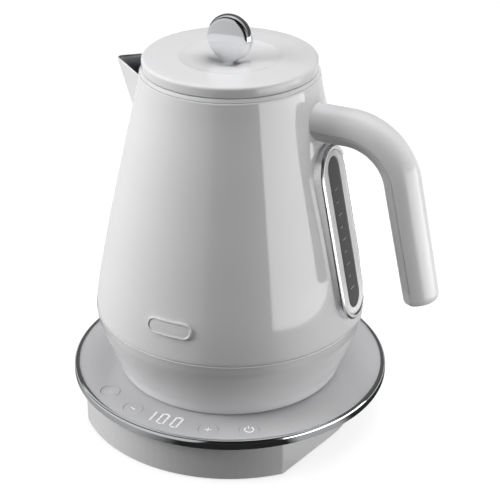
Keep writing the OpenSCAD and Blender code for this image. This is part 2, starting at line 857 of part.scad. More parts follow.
// Inner side below the seams: slanted flanks and a flat face with chamfered edges
inner_side = [[flank - handle_w / 2, -edge], [-face_w / 2 - edge * 0.6, edge - handle_front],
              [edge * 0.6 - face_w / 2, -handle_front], [face_w / 2 - edge * 0.6, -handle_front],
              [face_w / 2 + edge * 0.6, edge - handle_front], [handle_w / 2 - flank, -edge]];
full_section = concat(back_arc(0), inner_side);
hollow_section = concat(back_arc(handle_t),
    [[handle_t + 0.6 - handle_w / 2, -edge], [edge - face_w / 2, handle_t - handle_front],
     [face_w / 2 - edge, handle_t - handle_front], [handle_w / 2 - handle_t - 0.6, -edge]]);
// The cover fills the inner side a little below the seam
seam_drop = 0.15;
cover_section = let (d = seam_drop + snug, w = handle_w / 2 - flank * (seam_drop + snug) / edge - eps)
    concat([[w, -d], [-w, -d]], inner_side);
cut_section = [[handle_w, -seam_drop], [-handle_w, -seam_drop],
               [-handle_w, -handle_front - 1], [handle_w, -handle_front - 1]];
function sized(section, k) = [for (p = section) p * k];

// Skin over sections carried along stations of the handle's line
module sweep(stations, sections) {
    n = len(sections[0]);
    m = len(stations);
    points = [for (k = [0:m - 1], p = sections[k]) station_point(stations[k], p)];
    sides = [for (k = [0:m - 2], i = [0:n - 1], h = [0, 1])
        let (j = (i + 1) % n, a = k * n + i, b = k * n + j, c = a + n, d = b + n)
        h == 0 ? [a, d, b] : [a, c, d]];
    polyhedron(points, concat(sides, [[for (i = [0:n - 1]) i]], [[for (i = [n - 1:-1:0]) (m - 1) * n + i]]));
}

// Smooth cone that stands for the body where the handle meets it
module root_cone(g) {
    reach = handle_back + handle_front;
    translate([0, 0, root_z - reach]) cylinder(r1 = body_r(root_z - reach) + g,
        r2 = body_r(root_z + reach) + g, h = 2 * reach);
}

function past_end(d) = [handle_line[len(handle_line) - 1][0] + d * sin(grip_lean),
    handle_line[len(handle_line) - 1][1] - d * cos(grip_lean), turn, 1];

grip_end = len(handle_line) - 1;
function channel_line(over, short) = concat([[root_x - over, root_z, 0, 0]],
    [for (k = [1:grip_end - 1]) handle_line[k]], [past_end(-short)]);
rounded_end = [[0, 1], [end_round * 0.4, 0.985], [end_round * 0.75, 0.93], [end_round, 0.82]];
cap_t = 4;
cap_lip = 1;

// Sweep of one section along a line, shrunk along the handle's taper
module handle_sweep(line, section) {
    sweep(line, [for (s = line) sized(section, taper(s[3]))]);
}

module handle_shell() {
    line = concat([for (k = [0:grip_end - 1]) handle_line[k]], [for (e = rounded_end) past_end(e[0])]);
    sizes = concat([for (k = [0:grip_end - 1]) 1], [for (e = rounded_end) e[1]]);
    color("#EFEFEF") difference() {
        sweep(line, [for (k = [0:len(line) - 1]) sized(full_section, taper(line[k][3]) * sizes[k])]);
        handle_sweep(channel_line(2, cap_t), hollow_section);
        handle_sweep(channel_line(3, cap_t - cap_lip), cut_section);
        root_cone(root_gap);
    }
}

// Cover that closes the inner side of the handle, from the body to the end cap
module handle_inner_cover() {
    color("#E2E2E2") difference() {
        handle_sweep(concat([for (k = [0:grip_end - 1]) handle_line[k]],
            [past_end(cap_lip - cap_t - snug)]), cover_section);
        handle_sweep(channel_line(2, cap_t), hollow_section);
        root_cone(root_gap);
    }
}

// Steel bracket that carries the handle from the body
module handle_bracket() {
    color("#A4A7A9") difference() {
        translate([root_x, -bracket_w / 2, root_z - bracket_low])
            cube([bend_x + 6 - root_x, bracket_w, bracket_low + bracket_up]);
        root_cone(root_gap);
        for (s = [-1, 1]) translate([0, s * bracket_screw_y, root_z])
            rotate([0, 90, 0]) cylinder(r = screw_hole_r, h = bend_x);
    }
}

module handle_screws() {
    color("#9A9A9A") for (s = [-1, 1])
        translate([body_r(root_z) - steel_t - 2.2, s * bracket_screw_y, root_z]) rotate([0, 90, 0])
            screw(1.5, 3, 1.2, 14);
}

// ---------- lid ----------

// The dish around the knob, from its rim inwards, lowered by g
function dish_points(g) = [for (p = dish_curve)
    [dish_in + p[0] * (dish_r - dish_in), lid_top - g - p[1] * dish_h]];

module lid_cap() {
    under = dish_points(lid_t);
    color("#F3F3F3") rotate_extrude() polygon(concat(
        [[lid_r - wall_t, lid_bottom], [lid_r, lid_bottom], [lid_r, lid_top - 1.6],
         [lid_r - 0.5, lid_top - 0.5], [lid_r - 1.6, lid_top]],
        dish_points(0),
        [[knob_screw_pass, lid_top - dish_h], [knob_screw_pass, lid_top - dish_h - lid_t]],
        [for (i = [len(under) - 1:-1:0]) under[i]],
        [[lid_r - wall_t, lid_top - lid_t]]));
}

module lid_inner() {
    low = mouth_z - plug_drop + 2;
    color("#D5D5D5") difference() {
        union() {
            difference() {
                union() {
                    disc(plug_r, low, plug_top);
                    ring(lid_r - wall_t - snug, plug_r - 1, plug_top - 2, plug_top);
                }
                disc(plug_r - plug_t, low + plug_t, plug_top + 1);
                ring(plug_r + 4, plug_r - 0.8, seal_z - 1.1, seal_z + 1.1);
            }
            disc(screw_boss_r, low, lid_top - dish_h - lid_t - snug);
        }
        disc(knob_screw_pass, low - 1, plug_top + 1);
        disc(3.8, low - 1, low + 3);
    }
}

module lid_seal() {
    color("#E6E2DA") ring(seal_r, plug_r - 0.8 + snug, seal_z - 1, seal_z + 1);
}

// Disc on edge with domed faces and a rounded rim, on a neck that flares into the lid
module knob() {
    half = knob_t / 2;
    seat = lid_top - dish_h + snug;
    color("#C9CCCE") difference() {
        union() {
            translate([0, 0, knob_z]) rotate([90, 0, 0]) rotate_extrude() polygon([
                [0, -half], [knob_r * 0.5, -half + 0.3], [knob_r * 0.8, -half + 1.1],
                [knob_r - 0.9, -half + 2.6], [knob_r, -half + 4], [knob_r, half - 4],
                [knob_r - 0.9, half - 2.6], [knob_r * 0.8, half - 1.1], [knob_r * 0.5, half - 0.3],
                [0, half]]);
            rotate_extrude() polygon([[0, seat], [neck_r + 0.3, seat], [neck_r, seat + 0.6],
                [neck_r, knob_z - knob_r * 0.6], [0, knob_z - knob_r * 0.6]]);
            rotate([90, 0, 0]) linear_extrude(2 * neck_r - 1, center = true) polygon([
                [-knob_r * 0.69, knob_z - knob_r * 0.72], [-neck_r - 0.5, seat + 1.7],
                [0.2 - neck_r, seat + 0.9], [neck_r - 0.2, seat + 0.9],
                [neck_r + 0.5, seat + 1.7], [knob_r * 0.69, knob_z - knob_r * 0.72]]);
        }
        disc(1.6, lid_bottom, lid_top + 9);
    }
}

module knob_screw() {
    low = mouth_z - plug_drop + 5 - 0.02;
    color("#9A9A9A") {
        disc(3.4, low - 2.2, low);
        disc(1.5, low - 1, lid_top + 8);
    }
}

base_lower_housing();
base_tray();
base_top_cover();
base_trim_ring();
base_bottom_plate();
base_feet();
base_screws();
base_connector();
connector_contacts();
cord_gland();
control_board();
tact_switches();
display_light_guide();
button_warm();
button_minus();
button_plus();
button_power();
bottom_band();
kettle_underside();
underside_screws();
kettle_connector();
kettle_contacts();
heating_plate();
heating_element();
floor_seal();
temperature_sensor();
body_shell();
spout();
neck_ring();
filter_frame();
filter_mesh();
gauge_frame();
gauge_inner_ring();
gauge_window();
gauge_seal();
gauge_marks();
badge_plate();
handle_shell();
handle_inner_cover();
handle_bracket();
handle_screws();
lid_cap();
lid_inner();
lid_seal();
knob();
knob_screw();
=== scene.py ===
"""Cordless electric jug kettle on its powered base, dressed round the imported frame."""
import math
import bmesh
import bpy
from mathutils import Matrix, Vector


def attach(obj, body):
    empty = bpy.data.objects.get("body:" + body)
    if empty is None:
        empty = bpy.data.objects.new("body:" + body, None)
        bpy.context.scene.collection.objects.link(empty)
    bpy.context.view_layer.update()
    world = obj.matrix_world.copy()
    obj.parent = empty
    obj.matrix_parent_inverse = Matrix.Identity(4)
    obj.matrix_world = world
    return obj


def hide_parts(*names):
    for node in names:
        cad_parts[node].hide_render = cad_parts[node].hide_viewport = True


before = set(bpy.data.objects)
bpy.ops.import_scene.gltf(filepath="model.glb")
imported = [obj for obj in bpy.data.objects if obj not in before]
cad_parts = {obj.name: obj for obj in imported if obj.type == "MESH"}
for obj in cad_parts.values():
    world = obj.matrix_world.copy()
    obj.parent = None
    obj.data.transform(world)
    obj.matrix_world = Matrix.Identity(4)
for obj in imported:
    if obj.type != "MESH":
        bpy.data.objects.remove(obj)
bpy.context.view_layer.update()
MM = 0.001
TAU = 2 * math.pi

# ---------------------------------------------------------------- sizes in mm, as in the part's source
RIM_R = 100
BASE_H = 31
RIM_H = 6.2
COVER_TOP = 29.5
KETTLE_Z = 29.6
BAND_H = 43.2
SEAM_Z = KETTLE_Z + BAND_H
SEAM_R = 84.1
FOOT_R = 69.8
BODY_H = 152.6
MOUTH_Z = SEAM_Z + BODY_H
MOUTH_R = 53.6
STEEL_T = 1.2
WALL_T = 2.4
BODY_CURVE = [(0, 1), (0.1, 0.934), (0.257, 0.787), (0.414, 0.63), (0.571, 0.456),
              (0.729, 0.282), (0.886, 0.098), (0.95, 0.034), (1, 0)]
BAND_CURVE = [(0, 0), (0.03, 0.055), (0.17, 0.19), (0.35, 0.41), (0.53, 0.62),
              (0.72, 0.84), (0.85, 0.95), (1, 1)]


def smooth_lookup(x, table):
    """Monotone cubic through the table's points."""
    xs = [p[0] for p in table]
    ys = [p[1] for p in table]
    x = min(max(x, xs[0]), xs[-1])
    k = max(i for i in range(len(xs) - 1) if xs[i] <= x)
    step = [(ys[i + 1] - ys[i]) / (xs[i + 1] - xs[i]) for i in range(len(xs) - 1)]

    def slope(i):
        if i == 0:
            return step[0]
        if i == len(xs) - 1:
            return step[-1]
        a, b = step[i - 1], step[i]
        return 0 if a * b <= 0 else 2 * a * b / (a + b)

    h = xs[k + 1] - xs[k]
    t = (x - xs[k]) / h
    return ((2 * t ** 3 - 3 * t ** 2 + 1) * ys[k] + (t ** 3 - 2 * t ** 2 + t) * h * slope(k)
            + (3 * t ** 2 - 2 * t ** 3) * ys[k + 1] + (t ** 3 - t ** 2) * h * slope(k + 1))


def body_r(z):
    return MOUTH_R + (SEAM_R - MOUTH_R) * smooth_lookup((z - SEAM_Z) / BODY_H, BODY_CURVE)


def band_r(z):
    return FOOT_R + (SEAM_R - FOOT_R) * smooth_lookup((z - KETTLE_Z) / BAND_H, BAND_CURVE)


# ---------------------------------------------------------------- materials
NOISE_LOW, NOISE_HIGH = 0.3, 0.7    # most of a noise texture's values lie between these
MIX_A, MIX_B, MIX_OUT = 6, 7, 2     # sockets of a Mix node that mixes colours


class Mat:
    """A principled material whose colour, roughness and bump come from small node chains."""

    def __init__(self, name, color, rough, metal=0.0):
        self.m = bpy.data.materials.new(name)
        self.m.use_nodes = True
        self.t = self.m.node_tree
        self.b = self.t.nodes["Principled BSDF"]
        self.set("Base Color", (*color, 1)).set("Roughness", rough).set("Metallic", metal)
        self.color = color
        self.rough = rough
        self.where = self.add("ShaderNodeTexCoord").outputs["Object"]

    def set(self, socket, value):
        self.b.inputs[socket].default_value = value
        return self

    def add(self, kind, **numbers):
        """A new node, with numbers on its input sockets."""
        n = self.t.nodes.new(kind)
        for name, value in numbers.items():
            n.inputs[name.replace("_", " ")].default_value = value
        return n

    def link(self, a, b):
        self.t.links.new(a, b)

    def noise(self, scale, detail, stretch):
        mapping = self.add("ShaderNodeMapping", Scale=stretch)
        self.link(self.where, mapping.inputs["Vector"])
        n = self.add("ShaderNodeTexNoise", Scale=scale, Detail=detail)
        self.link(mapping.outputs["Vector"], n.inputs["Vector"])
        return n.outputs["Fac"]

    def spread(self, fac, low, high):
        r = self.add("ShaderNodeMapRange", From_Min=NOISE_LOW, From_Max=NOISE_HIGH, To_Min=low, To_Max=high)
        self.link(fac, r.inputs["Value"])
        return r.outputs["Result"]

    def vary_rough(self, scale, amount, stretch=(1, 1, 1)):
        """Roughness that wanders by amount to either side."""
        out = self.spread(self.noise(scale, 4, stretch), max(0.0, self.rough - amount), self.rough + amount)
        self.link(out, self.b.inputs["Roughness"])
        return self

    def vary_color(self, scale, amount):
        """Colour that wanders by a share, amount, to either side."""
        mix = self.add("ShaderNodeMix")
        mix.data_type = "RGBA"
        low = [max(0, c * (1 - amount)) for c in self.color]
        high = [min(1, c * (1 + amount)) for c in self.color]
        mix.inputs[MIX_A].default_value = (*low, 1)
        mix.inputs[MIX_B].default_value = (*high, 1)
        self.link(self.spread(self.noise(scale, 5, (1, 1, 1)), 0, 1), mix.inputs[0])
        self.link(mix.outputs[MIX_OUT], self.b.inputs["Base Color"])
        return self

    def bump(self, scale, distance, strength, stretch=(1, 1, 1)):
        """Fine bump, its distance in metres."""
        bp = self.add("ShaderNodeBump", Strength=strength, Distance=distance)
        self.link(self.noise(scale, 2, stretch), bp.inputs["Height"])
        self.link(bp.outputs["Normal"], self.b.inputs["Normal"])
        return self

    def glow(self, strength):
        return self.set("Emission Color", (1, 1, 1, 1)).set("Emission Strength", strength)


WHITE = (0.80, 0.80, 0.81)
GREY_WHITE = (0.70, 0.70, 0.71)

paint = Mat("gloss_enamel", WHITE, 0.09).vary_color(6, 0.008).vary_rough(40, 0.03)
paint.bump(900, 0.00002, 0.10).set("Coat Weight", 0.2).set("Coat Roughness", 0.05).set("IOR", 1.55)
gloss = Mat("gloss_moulding", WHITE, 0.20).vary_color(8, 0.010).vary_rough(60, 0.03)
gloss.bump(1200, 0.00002, 0.10).set("Coat Weight", 0.25).set("Coat Roughness", 0.08)
gauge_white = Mat("gauge_ring_gloss", (0.93, 0.93, 0.93), 0.15).vary_color(8, 0.010).vary_rough(60, 0.03)
gauge_white.bump(1200, 0.00001, 0.05).set("IOR", 1.9)
glass_top = Mat("gloss_base_top", (0.60, 0.60, 0.61), 0.10).vary_color(8, 0.008).vary_rough(50, 0.02)
glass_top.bump(600, 0.00001, 0.08).set("Coat Weight", 0.5).set("Coat Roughness", 0.03)
satin = Mat("satin_moulding", GREY_WHITE, 0.42).vary_color(20, 0.02).vary_rough(80, 0.05)
satin.bump(2500, 0.00003, 0.25)
# Steel lining darker than the bare brushed steel: painted shade for the dark insides of the jug and the spout
shaded_lining = Mat("steel_lining_painted_shade", (0.33, 0.34, 0.35), 0.30, 1.0).vary_rough(30, 0.06, (1, 1, 12))
shaded_lining.bump(300, 0.00002, 0.2, (1, 1, 20))
chrome = Mat("polished_chrome", (0.78, 0.79, 0.81), 0.04, 1.0).vary_rough(25, 0.015)
chrome.bump(150, 0.000005, 0.05)
satin_chrome = Mat("satin_chrome", (0.88, 0.88, 0.89), 0.26, 1.0).vary_rough(40, 0.03)
satin_chrome.bump(300, 0.00001, 0.05)
steel = Mat("brushed_steel", (0.55, 0.56, 0.57), 0.32, 1.0).vary_rough(200, 0.08, (1, 1, 0.05))
steel.bump(800, 0.00002, 0.2, (1, 1, 0.04))
dark_plastic = Mat("black_moulding", (0.022, 0.022, 0.024), 0.45).vary_color(30, 0.15).vary_rough(60, 0.06)
dark_plastic.bump(1800, 0.00004, 0.25)
rubber = Mat("foot_rubber", (0.035, 0.035, 0.035), 0.75).vary_color(60, 0.2).bump(1500, 0.00005, 0.4)
silicone = Mat("silicone", (0.62, 0.61, 0.58), 0.5).vary_color(30, 0.03).bump(900, 0.00003, 0.2)
silicone.set("Subsurface Weight", 0.1)
brass = Mat("plated_brass", (0.72, 0.52, 0.24), 0.25, 1.0).vary_rough(90, 0.06).bump(400, 0.00002, 0.1)
board = Mat("solder_resist", (0.03, 0.16, 0.07), 0.35).vary_color(200, 0.2).bump(900, 0.00003, 0.2)
alloy = Mat("cast_alloy", (0.50, 0.51, 0.52), 0.45, 1.0).vary_color(60, 0.06).bump(500, 0.00005, 0.3)
badge_mat = Mat("badge_plate", (0.80, 0.80, 0.81), 0.22, 0.2).vary_rough(60, 0.04).bump(500, 0.00001, 0.1)
ink = Mat("printed_marks", (0.32, 0.32, 0.32), 0.5).vary_color(300, 0.05).bump(900, 0.00001, 0.1)
# The window's darkness is partly its own smoky tint and partly painted shade, standing in for the dark inside
# that the uncut body wall behind it does not show
smoke_and_shade = Mat("smoky_window_and_painted_shade", (0.05, 0.052, 0.054), 0.07).vary_rough(30, 0.02).bump(60, 0.00002, 0.05)
smoke_and_shade.set("Transmission Weight", 0.4).set("IOR", 1.42)
# The symbols' glow is painted light: the printed marks shine as if lit, though no lamp is behind them
glowing_symbol = Mat("printed_symbol_painted_glow", (0.93, 0.93, 0.93), 0.4).vary_color(300, 0.03).bump(900, 0.00001, 0.1)
glowing_symbol.glow(0.35)
symbol_dim = Mat("printed_symbol_dim", (0.85, 0.85, 0.86), 0.5).vary_color(300, 0.05).bump(900, 0.00001, 0.1)
lit = Mat("lit_digits", (0.8, 0.8, 0.8), 0.3).vary_rough(60, 0.04).bump(600, 0.00001, 0.05)
lit.glow(0.33)


# ---------------------------------------------------------------- mesh helpers
MERGE = 1e-7    # metres


def make(name, verts, faces, mat, body, nodes=(), smooth=40, inside=None):
    """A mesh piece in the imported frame, from points in mm, with edges over smooth degrees left sharp."""
    me = bpy.data.meshes.new(name)
    me.from_pydata([(x * MM, y * MM, z * MM) for x, y, z in verts], [], faces)
    bm = bmesh.new()
    bm.from_mesh(me)
    bmesh.ops.remove_doubles(bm, verts=bm.verts, dist=MERGE)
    bmesh.ops.recalc_face_normals(bm, faces=bm.faces)
    for f in bm.faces:
        f.smooth = True
    for e in bm.edges:
        shared = len(e.link_faces)
        if shared > 2 or shared == 2 and e.calc_face_angle(0) > math.radians(smooth):
            e.smooth = False
    bm.to_mesh(me)
    bm.free()
    ob = bpy.data.objects.new(name, me)
    bpy.context.scene.collection.objects.link(ob)
    me.materials.append(mat.m)
    if inside:
        me.materials.append(inside.m)
    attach(ob, body)
    if nodes:
        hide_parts(*nodes)
    return ob


STRAIGHT = 0.02    # radians, for corners too flat or too tight to round


def rounded(points, segs=6):
    """Corners of a closed outline [(a, b, radius)] replaced by arcs."""
    out = []
    n = len(points)
    for i in range(n):
        p = Vector(points[i][:2])
        r = points[i][2] if len(points[i]) > 2 else 0
        a = Vector(points[i - 1][:2]) - p
        b = Vector(points[(i + 1) % n][:2]) - p
        if r <= 0 or a.length < 1e-9 or b.length < 1e-9:
            out.append((p.x, p.y))
            continue
        a.normalize()
        b.normalize()
        half = math.acos(max(-1, min(1, a.dot(b)))) / 2
        if half < STRAIGHT or half > math.pi / 2 - STRAIGHT:
            out.append((p.x, p.y))
            continue
        cut = r / math.tan(half)
        centre = p + (a + b).normalized() * (r / math.sin(half))
        start = p + a * cut - centre
        end = p + b * cut - centre
        sweep = start.angle_signed(end)
        for k in range(segs + 1):
            v = start.copy()
            v.rotate(Matrix.Rotation(-sweep * k / segs, 2))
            out.append((centre.x + v.x, centre.y + v.y))
    return out


def lathe_mesh(profile, segs):
    """Points and faces of a closed (r, z) outline turned about Z."""
    verts, faces, n = [], [], len(profile)
    for i in range(segs):
        a = TAU * i / segs
        verts += [(r * math.cos(a), r * math.sin(a), z) for r, z in profile]
    for i in range(segs):
        j = (i + 1) % segs
        for k in range(n):
            m = (k + 1) % n
            faces.append((i * n + k, j * n + k, j * n + m, i * n + m))
    return verts, faces


def drop_flat(faces, verts):
    """Faces without repeated points, for a profile that gives a point twice."""
    out = []
    for f in faces:
        kept = []
        for v in f:
            p = tuple(round(c, 5) for c in verts[v])
            if all(p != q for q, _ in kept):
                kept.append((p, v))
        if len(kept) > 2:
            out.append(tuple(v for _, v in kept))
    return out


def lathe(name, profile, mat, body, nodes, segs=192, smooth=40):
    verts, faces = lathe_mesh(profile, segs)
    make(name, verts, drop_flat(faces, verts), mat, body, nodes, smooth)


def grid_faces(rows, cols, wrap=False):
    """Faces between rows of points, closed across the columns by wrap."""
    out = []
    for i in range(rows - 1):
        for j in range(cols if wrap else cols - 1):
            k = (j + 1) % cols
            out.append((i * cols + j, i * cols + k, (i + 1) * cols + k, (i + 1) * cols + j))
    return out


# ---------------------------------------------------------------- kettle body
LIP_Z = MOUTH_Z - 3.6
SPOUT_H = 41
SPOUT_LOW = LIP_Z - SPOUT_H
SPOUT_HALF = 26         # half of the spout's angle at its lip, in degrees
SPOUT_HALF_LOW = 3      # and at its lower point
EVEN_FROM = 70          # beyond this angle the body's mesh columns are evenly spread
NOSE_R = 4
NOSE_R_LOW = 0.9
NOSE_X = MOUTH_R + 22
NOSE_LOW_X = body_r(SPOUT_LOW) - 0.3
SPOUT_SINK = 0.15       # how far the spout's sides run into the body's skin
SPOUT_LIP = 0.35
BODY_COLS = 180
BODY_ROWS = 44
LIP_ROWS = 16
SPOUT_ROWS = 26
BODY_START = 0.6        # above the seam, where the body's curve takes over from its rounded edge


def spout_half(z):
    """Half of the angle that the spout spans on the body at a height, in degrees."""
    return SPOUT_HALF_LOW + (SPOUT_HALF - SPOUT_HALF_LOW) * min(1, abs(z - SPOUT_LOW) / SPOUT_H)


def warp(beta, z):
    """Angle from the spout's middle for a mesh column, drawn in so that a column follows the spout's seam."""
    half = spout_half(z)
    side = -1 if beta < 0 else 1
    b = abs(beta)
    if b <= SPOUT_HALF:
        out = b * half / SPOUT_HALF
    elif b < EVEN_FROM:
        out = half + (b - SPOUT_HALF) * (EVEN_FROM - half) / (EVEN_FROM - SPOUT_HALF)
    else:
        out = b
    return side * out


def body_piece():
    """The jug's wall, left open where the spout leaves it, with its thickness turned inwards."""
    step = 360 / BODY_COLS
    betas = [(j - BODY_COLS / 2) * step for j in range(BODY_COLS)]
    heights = [SEAM_Z + BODY_START + (SPOUT_LOW - SEAM_Z - BODY_START) * i / BODY_ROWS
               for i in range(BODY_ROWS + 1)]
    heights += [SPOUT_LOW + SPOUT_H * i / LIP_ROWS for i in range(1, LIP_ROWS + 1)]
    low_edge = [(SEAM_R - 1.3, SEAM_Z + 0.05), (SEAM_R - 0.5, SEAM_Z + 0.05), (SEAM_R - 0.1, SEAM_Z + 0.25)]
    top_edge = [(MOUTH_R + 0.05, MOUTH_Z - 2.2), (MOUTH_R, MOUTH_Z - 1.0), (MOUTH_R - 0.15, MOUTH_Z - 0.4),
                (MOUTH_R - 0.5, MOUTH_Z - 0.08), (MOUTH_R - 1.0, MOUTH_Z)]
    rows = low_edge + [(body_r(z), z) for z in heights] + top_edge
    verts = []
    for r, z in rows:
        for b in betas:
            a = math.radians(180 + warp(b, z))
            verts.append((r * math.cos(a), r * math.sin(a), z))
    faces = []
    for f in grid_faces(len(rows), BODY_COLS, wrap=True):
        i, j = divmod(f[0], BODY_COLS)
        mid = betas[j] + step / 2
        in_spout = rows[i][1] >= SPOUT_LOW - 0.01 and rows[i + 1][1] <= LIP_Z + 0.01
        if not (in_spout and abs(mid) < SPOUT_HALF):
            faces.append(f)
    ob = make("kettle_body", verts, faces, paint, "kettle", ["body_shell"], inside=shaded_lining)
    thick = ob.modifiers.new("wall", "SOLIDIFY")
    thick.thickness = STEEL_T * MM
    thick.offset = -1
    thick.material_offset = 1
    thick.use_rim = True


def spout_row(z, g, side_segs=10, nose_segs=14):
    """Plan outline of the spout at a height, from one seam round the nose to the other, inset by g."""
    t = max(0, min(1, (z - SPOUT_LOW) / SPOUT_H))
    rho = NOSE_R_LOW + t * (NOSE_R - NOSE_R_LOW)
    nose = NOSE_LOW_X + t * (NOSE_X - NOSE_LOW_X)
    half = math.radians(spout_half(z))
    r = body_r(z) - SPOUT_SINK
    q = Vector((-r * math.cos(half), r * math.sin(half)))
    c = Vector((-(nose - rho), 0))
    v = q - c
    if v.length <= rho:
        v = v.normalized() * rho * 1.001
    tau = math.atan2(v.y, v.x) + math.acos(rho / v.length)
    normal = Vector((math.cos(tau), math.sin(tau)))
    touch = c + normal * (rho - g)
    start = q - normal * g
    pts = [start.lerp(touch, k / side_segs) for k in range(side_segs)]
    pts += [c + Vector((math.cos(a), math.sin(a))) * (rho - g)
            for a in (tau + (TAU - 2 * tau) * k / nose_segs for k in range(nose_segs + 1))]
    pts += [Vector((p.x, -p.y)) for p in reversed(pts[:side_segs])]
    return pts


def spout_piece():
    """The spout's outer skin up to its lip and its lining down again. Both are open along the body."""
    def row(level, inset, z):
        return [(p.x, p.y, z) for p in spout_row(level, inset)]

    levels = [SPOUT_LOW + SPOUT_H * i / SPOUT_ROWS for i in range(SPOUT_ROWS + 1)]
    rows = [row(z, 0, z) for z in levels[:-1]]
    rows += [row(LIP_Z, 0, LIP_Z - SPOUT_LIP), row(LIP_Z, SPOUT_LIP, LIP_Z),
             row(LIP_Z, STEEL_T - SPOUT_LIP, LIP_Z), row(LIP_Z, STEEL_T, LIP_Z - SPOUT_LIP)]
    for z in reversed(levels[1:-1]):
        rows.append(row(z, STEEL_T * min(1, 0.4 + (z - SPOUT_LOW) / SPOUT_H), z))
    cols = len(rows[0])
    ob = make("pouring_spout", [p for r in rows for p in r], grid_faces(len(rows), cols), paint, "kettle",
              ["spout"], smooth=60, inside=shaded_lining)
    lining_row = len(levels) + 1
    for poly in ob.data.polygons:
        if poly.index // (cols - 1) >= lining_row:
            poly.material_index = 1


body_piece()
spout_piece()

BAND_ROWS = 40
band_rows = [(band_r(KETTLE_Z + BAND_H * i / BAND_ROWS), KETTLE_Z + BAND_H * i / BAND_ROWS)
             for i in range(1, BAND_ROWS)]
band_foot = [(FOOT_R - WALL_T, KETTLE_Z + 0.2), (FOOT_R - 0.8, KETTLE_Z + 0.02),
             (FOOT_R - 0.1, KETTLE_Z + 0.35)]
band_seam = [(SEAM_R + 0.02, SEAM_Z - 0.9), (SEAM_R - 0.12, SEAM_Z - 0.5), (SEAM_R - 0.45, SEAM_Z - 0.32),
             (SEAM_R - WALL_T, SEAM_Z - 0.3), (SEAM_R - WALL_T - 6, KETTLE_Z + 18)]
lathe("bottom_band", band_foot + band_rows + band_seam, gloss, "kettle", ["bottom_band"],
      smooth=50)

# ---------------------------------------------------------------- neck ring and lid
NECK_R = MOUTH_R - STEEL_T - 0.5
NECK_OPEN = NECK_R - 3
NECK_TOP = MOUTH_Z + 2.2
neck_outline = [(NECK_OPEN, MOUTH_Z - 7.5, 0.3), (NECK_R, MOUTH_Z - 7.5, 0.3), (NECK_R, MOUTH_Z + 0.1, 0),
                (MOUTH_R - 0.5, MOUTH_Z + 0.1, 0.2), (MOUTH_R - 1.8, NECK_TOP, 0.4), (NECK_OPEN, NECK_TOP, 0.6)]
lathe("neck_ring", rounded(neck_outline, 5), gloss, "kettle", ["neck_ring"])

LID_BOTTOM = NECK_TOP + 0.3
LID_TOP = LID_BOTTOM + 6.4
LID_R = MOUTH_R - 1.6
LID_WALL = 1.8
LID_EDGE = 1.7
KNOB_HOLE_R = 2.2
DISH_R = 30
DISH_H = 4.2
KNOB_NECK = 4.3
DISH_IN = KNOB_NECK + 1
DISH_CURVE = [(0, 1), (0.05, 0.96), (0.16, 0.78), (0.36, 0.48), (0.6, 0.28), (0.94, 0.08), (1, 0)]


def dish_z(t):
    return LID_TOP - DISH_H * smooth_lookup(t, DISH_CURVE)


dish_rows = [(DISH_IN + (DISH_R - DISH_IN) * k / 36, dish_z(k / 36)) for k in range(36, -1, -1)]
under_rows = [(DISH_IN + (DISH_R - DISH_IN) * k / 8, dish_z(k / 8) - LID_WALL) for k in range(9)]
lid_side = [(LID_R - 2.4, LID_BOTTOM + 0.3), (LID_R - 0.6, LID_BOTTOM), (LID_R - 0.1, LID_BOTTOM + 0.25),
            (LID_R, LID_BOTTOM + 0.7), (LID_R, LID_TOP - 1.9)]
lid_side += [(LID_R - LID_EDGE + LID_EDGE * math.cos(a), LID_TOP - LID_EDGE + LID_EDGE * math.sin(a))
             for a in (math.pi / 2 * k / 8 for k in range(1, 9))]
lid_flat = [(DISH_R + 12 - 2 * k, LID_TOP) for k in range(5)] + [(DISH_R + 0.6, LID_TOP)]
knob_hole = [(KNOB_HOLE_R, LID_TOP - DISH_H), (KNOB_HOLE_R, LID_TOP - DISH_H - LID_WALL)]
lathe("lid_cap", lid_side + lid_flat + dish_rows + knob_hole + under_rows + [(LID_R - 2.4, LID_TOP - LID_WALL)],
      gloss, "lid", ["lid_cap"], smooth=60)

KNOB_R = 14.2
KNOB_Z = LID_TOP + 11
KNOB_T = 9.6
KNOB_EDGE = 3.2
KNOB_DOME = 0.5
KNOB_GAP = 0.12
KNOB_FLARE = math.radians(-47)    # where the disc's outline leaves its circle for the neck
NECK_SHAPE = [(0, 0), (0.3, 0.47), (0.6, 0.86), (0.72, 0.95), (0.86, 1.0), (1, 0.97)]


